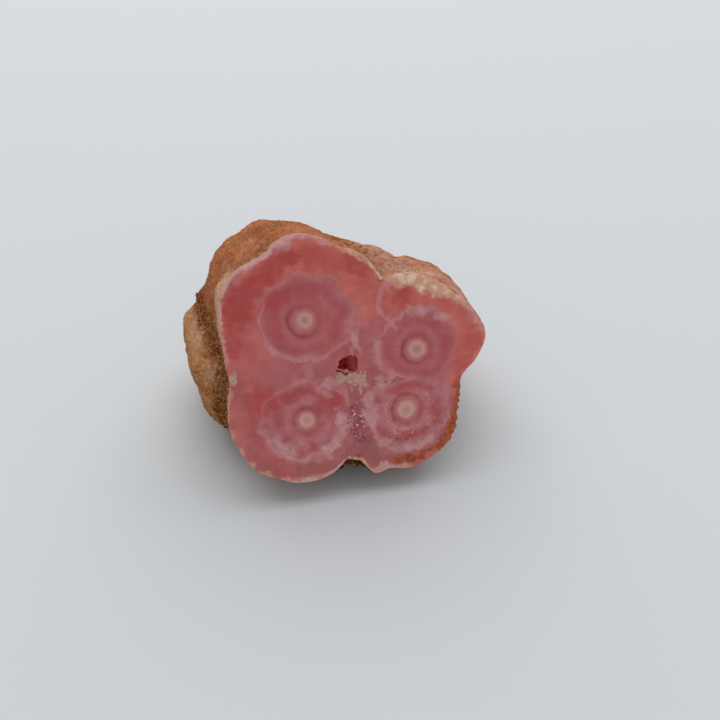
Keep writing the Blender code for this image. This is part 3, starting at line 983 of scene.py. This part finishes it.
    rough = add(tree, "Math", (values["druse"], values["calcite"]), operation="ADD")
    rough = add(tree, "Math", (rough, values["stain"]), operation="ADD")
    feed(tree, shader, {
        "Base Color": colour,
        "Roughness": add(tree, "MapRange", (grain, 0.0, 1.0, 0.36, 0.5)),
        "IOR": CALCITE_IOR,
        "Specular IOR Level": 0.35,
        "Subsurface Weight": 0.25,
        "Subsurface Radius": (1.0, 0.35, 0.3),
        "Subsurface Scale": 0.0012,
        "Normal": roughen(tree, uneven(tree, rough, 2.0, 0.3, grain), 0.0001, 0.5),
    })
    return material


def iron_stained_crust():
    """Weathered rhodochrosite crust under iron oxide: dull, streaked orange brown with pink high spots.

    The streaks run the way the stalactites grew; earth brown lies in the pits and grooves.
    """
    material, tree, shader = new_material("iron_stained_crust")
    place = add(tree, "TexCoord", output=3)
    grown = add(tree, "Mapping", {"Vector": place, "Rotation": (float(LEAN), 0.0, 0.0)})
    drawn_out = add(tree, "VectorMath", (grown, (1.0, 0.2, 1.0)), operation="MULTIPLY")
    values = point_values(
        tree, "relief", "groove", "fifth", "fifth_painted_highlight", "right_side", "behind_rim", "left_side", "notch",
    )
    behind_rim, relief = values["behind_rim"], values["relief"]
    earth = clouds(tree, place, 9.0, 0.4, 0.65)
    broad = clouds(tree, place, 4.0, 0.35, 0.65)
    cream = clouds(tree, place, 3.4, 0.42, 0.66, 4.0, 0.55)
    ochre = clouds(tree, place, 2.6, 0.48, 0.68, 4.0, 0.6)
    mottle = clouds(tree, place, 1.5, 0.3, 0.7, 4.0, 0.6)
    red_brown = clouds(tree, place, 1.3, 0.56, 0.74, 4.0, 0.6)
    specks = clouds(tree, place, 0.8, 0.62, 0.7, 2.0, 0.5)
    grain = clouds(tree, place, 0.4, 0.3, 0.7, 5.0, 0.7)
    streaks = clouds(tree, drawn_out, 0.9, 0.3, 0.7, 4.0, 0.55)
    threads = clouds(tree, drawn_out, 0.35, 0.35, 0.65, 4.0, 0.6)

    # The fifth stalactite: golden brown with broad cream places, and a painted highlight on its upper left
    # side, where the light falls.
    gold = lay(
        tree, two_tone(tree, streaks, "#A65A1C", "#CC8844"),
        ("#A2581F", red_brown, 0.6),
        ("#DCAA74", cream, 0.4),
        # painted highlight: the upper left side of the fifth stalactite made paler, where the light falls on
        # it
        ("#E2B288", values["fifth_painted_highlight"], 0.9, 0.0, 0.9),
        ("#E4C29A", threads, 0.3, 0.5, 1.0),
    )

    # The right stalactite and the notch above it: pinkish rock, stained further back, cream by the rim.
    far_back = add(tree, "MapRange", (behind_rim, 5.0, 14.0))
    by_rim = add(tree, "MapRange", (behind_rim, 2.0, 7.0, 1.0, 0.0), **SMOOTH)
    pink = lay(
        tree, two_tone(tree, mottle, "#C4826A", "#DAA88E"),
        ("#B2703E", where_all(tree, far_back, broad), 0.7, 0.0, 0.9),
        ("#A8602E", ochre, 0.45, 0.2, 1.0),
        ("#E8CCB0", where_all(tree, cream, by_rim), 0.7, 0.1, 0.9),
    )

    # Pale washed strip behind the left rim, and a pale line along all of the rim.
    washed = uneven(tree, threads, 0.4, 0.6, values["left_side"], by_rim)
    near_rim = add(tree, "MapRange", (behind_rim, 0.1, 1.2, 1.0, 0.0), **SMOOTH)

    # Earth in the grooves, most of it on the left, and in the pits.
    hollow = two_tone(tree, grain, "#502408", "#9A5A20")
    clear = add(tree, "Math", (values["right_side"], -0.6, 1.0), operation="MULTIPLY_ADD")
    held = uneven(tree, mottle, 0.45, 0.65, clear, values["groove"])
    low = add(tree, "Math", (grain, 0.3, relief), operation="MULTIPLY_ADD")
    low = add(tree, "MapRange", (low, 0.2, 0.6, 1.0, 0.0), **SMOOTH)
    # the high places and the tops of the grains, which get the painted highlight
    high = add(tree, "Math", (grain, 0.35, relief), operation="MULTIPLY_ADD")
    high = add(tree, "MapRange", (high, 0.75, 1.05), **SMOOTH)

    # All of it over rust, with ochre and red brown in it, worn to pinkish rock on the high places and with a
    # painted highlight on the tops of the grains.
    colour = lay(
        tree, two_tone(tree, broad, "#B25E26", "#BE6C3E"),
        ("#AA7030", ochre, 0.75),
        ("#C88464", mottle, 0.5, 0.45, 0.95),
        ("#CE9068", streaks, 0.35, 0.3, 1.0),
        ("#70330F", red_brown, 0.65, 0.1, 1.0),
        ("#86502C", earth, 0.45, 0.2, 1.0),
        (gold, values["fifth"], 0.9, 0.3, 0.9),
        (pink, values["right_side"], 0.85, 0.3, 0.8),
        ("#E2B294", washed, 0.88, 0.0, 0.85),
        ("#D8AC90", where_all(tree, near_rim, mottle), 0.7, 0.1, 0.9),
        (hollow, held, 0.85, 0.3, 1.0),
        ("#5A2A10", low, 0.8),
        # painted highlight, with wear: the high places and the tops of the grains made paler
        ("#D8A888", high, 0.22),
        ("#742E18", specks, 0.55),
        # painted shade, over dark earth: the crust in the notch under the granules, where the stone's shadow
        # falls, made nearly black
        ("#3C1D10", values["notch"], 0.8, 0.1, 1.0),
    )
    rough = add(tree, "Math", (threads, 0.7, grain), operation="MULTIPLY_ADD")
    feed(tree, shader, {
        "Base Color": shade(tree, colour, (grain, 0.87, 1.16), (threads, 0.93, 1.08)),
        "Roughness": 0.82,
        "Specular IOR Level": 0.15,
        "Normal": roughen(tree, rough, 0.0003, 0.7),
    })
    return material


def vug_crystals():
    """Clear dark red rhodochrosite grown on the vug's wall: deep colour, glassy, paler on the right."""
    material, tree, shader = new_material("deep_red_vug_wall")
    place = add(tree, "TexCoord", output=3)
    grain = clouds(tree, place, 0.4, 0.3, 0.7)
    colour = add(tree, "ValToRGB", (grain,), stops=((0.2, "#9A2022"), (0.8, "#C43A34")))
    across = add(tree, "SeparateXYZ", (place,))
    feed(tree, shader, {
        "Base Color": lay(tree, colour, ("#E0706A", across, 0.9, 0.0, 0.0009)),
        "Roughness": 0.25,
        "Normal": roughen(tree, grain, 0.0002, 0.7),
    })
    return material


def tinted(name, stops, inputs):
    """A material for many small pieces, each of its own tint along the colour stops."""
    material, tree, shader = new_material(name)
    tint = point_values(tree, "tint")["tint"]
    feed(tree, shader, {"Base Color": add(tree, "ValToRGB", (tint,), stops=stops), **inputs})
    return material


def druse_crystals():
    """Clear pink rhodochrosite points: glassy, from deep rose to nearly white; the nearly white ones are
    painted glints.
    """
    # painted glints: the nearly white stops at the top, which a few crystals get
    stops = ((0.0, "#AC4C58"), (0.6, "#C8767C"), (0.95, "#E09AA0"), (1.0, "#FFE2E0"))
    inputs = {"Roughness": 0.35, "IOR": CALCITE_IOR, "Specular IOR Level": 0.15}
    return tinted("clear_pink_rhodochrosite_points", stops, inputs)


def iron_granules():
    """Grains of earthy iron oxide: dull, nearly black to golden brown."""
    stops = ((0.0, "#2C150C"), (0.6, "#5E3418"), (0.8, "#945626"), (1.0, "#C08850"))
    return tinted("iron_oxide_granules", stops, {"Roughness": 0.85, "Specular IOR Level": 0.15})


def floor_paper():
    """Plain pale seamless paper: flat and dull, so that only the stone's shadow shows on it."""
    material, tree, shader = new_material("pale_backdrop_paper")
    feed(tree, shader, {"Base Color": "#CFD3D5", "Roughness": 0.9, "Specular IOR Level": 0.1})
    return material


# ---------------------------------------------------------------- stage
FLOOR_HALF = 3.0  # metres
AIM = Vector((0, 0, 0.015))  # where the lights point


def make_camera():
    """A camera that looks at the centre of the sawn face from the front, above and a little left."""
    azimuth, elevation = np.radians((-12.0, 39.5))
    distance = 0.1236
    view_angle = 40.0
    flat = np.cos(elevation)
    back = Vector((np.sin(azimuth) * flat, -np.cos(azimuth) * flat, np.sin(elevation)))
    data = bpy.data.cameras.new("camera")
    data.sensor_width = 36.0
    data.angle = np.radians(view_angle)
    data.clip_start = 0.005
    camera = put_in_scene("camera", data)
    camera.location = Vector(FACE_CENTRE * MM) + back * distance
    camera.rotation_euler = (-back).to_track_quat("-Z", "Y").to_euler()
    bpy.context.scene.camera = camera


def make_floor():
    """A square of paper that the stone stands on."""
    mesh = bpy.data.meshes.new("floor")
    corners = [(FLOOR_HALF * x, FLOOR_HALF * y, 0.0) for x, y in ((-1, -1), (1, -1), (1, 1), (-1, 1))]
    mesh.from_pydata(corners, [], [(0, 1, 2, 3)])
    mesh.materials.append(floor_paper())
    put_in_scene("floor", mesh)


def make_light(name, place, size, power, colour):
    """A square soft light aimed at the stone."""
    data = bpy.data.lights.new(name, "AREA")
    data.shape = "SQUARE"
    data.size = size
    data.energy = power
    data.color = paint(colour)[:3]
    light = put_in_scene(name, data)
    light.location = place
    light.rotation_euler = (AIM - Vector(place)).to_track_quat("-Z", "Y").to_euler()


def make_world():
    """Soft light from all sides, and plain colours in the picture."""
    world = bpy.data.worlds.new("soft_room")
    world.use_nodes = True
    feed(world.node_tree, world.node_tree.nodes["Background"], {"Color": "#FAFBFF", "Strength": 0.48})
    bpy.context.scene.world = world
    bpy.context.scene.view_settings.view_transform = "Standard"


make_camera()
make_floor()
make_light("window", (0.05, 0.36, 0.58), 1.1, 5.35, "#FFFFFF")
make_light("front_card", (-0.06, -0.45, 0.16), 0.5, 0.22, "#FFFDFA")
make_world()

places, relief, groove = stone_places()
skin = places[RIM_ROW - 1 :]
stone = make_stone(places, relief, groove, (sawn_rhodochrosite(), iron_stained_crust(), vug_crystals()))
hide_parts("stalactite_section")
oxide = iron_granules()
druse = make_druse(druse_crystals())
granules = make_granules(skin, oxide)
grains = make_crease_grains(skin, groove, oxide)
for piece in (stone, druse, granules, grains):
    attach(piece, "root")
